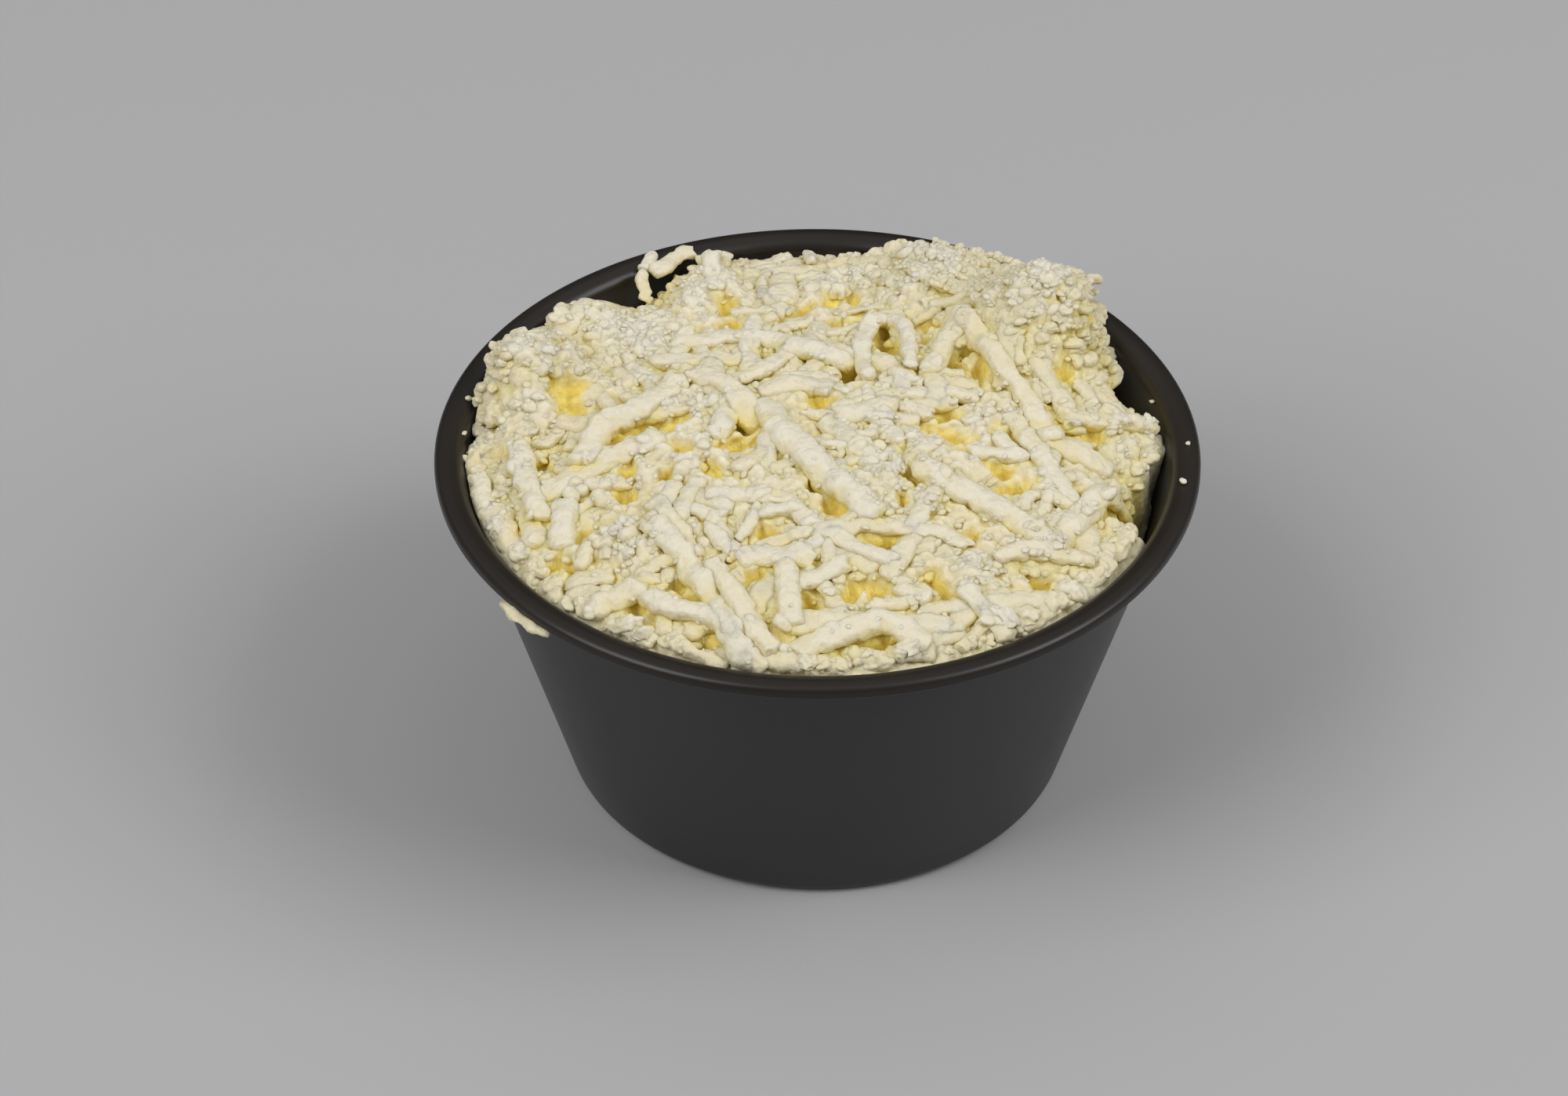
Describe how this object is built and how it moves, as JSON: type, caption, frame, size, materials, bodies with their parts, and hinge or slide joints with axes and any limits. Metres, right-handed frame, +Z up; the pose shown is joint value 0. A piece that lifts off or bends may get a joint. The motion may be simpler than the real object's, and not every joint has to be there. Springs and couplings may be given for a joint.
{
  "type": "cup of grated mozzarella",
  "caption": "Round black plastic portion cup with a turned-down rim, heaped just over the brim with grated white cheese.",
  "frame": {"origin": "on the table, at the middle of the cup's base", "axes": "+Z up along the cup's axis; -Y towards the viewer of the picture; +X to that viewer's right"},
  "size_m": [0.062, 0.062, 0.0353],
  "materials": {
    "cup_plastic": "black, satin, faintly polished rim",
    "cheese": "moist creamy white, golden yellow in the deep gaps"
  },
  "bodies": {
    "root": {"cup": "cup_plastic", "grated_cheese": "cheese"}
  },
  "joints": []
}
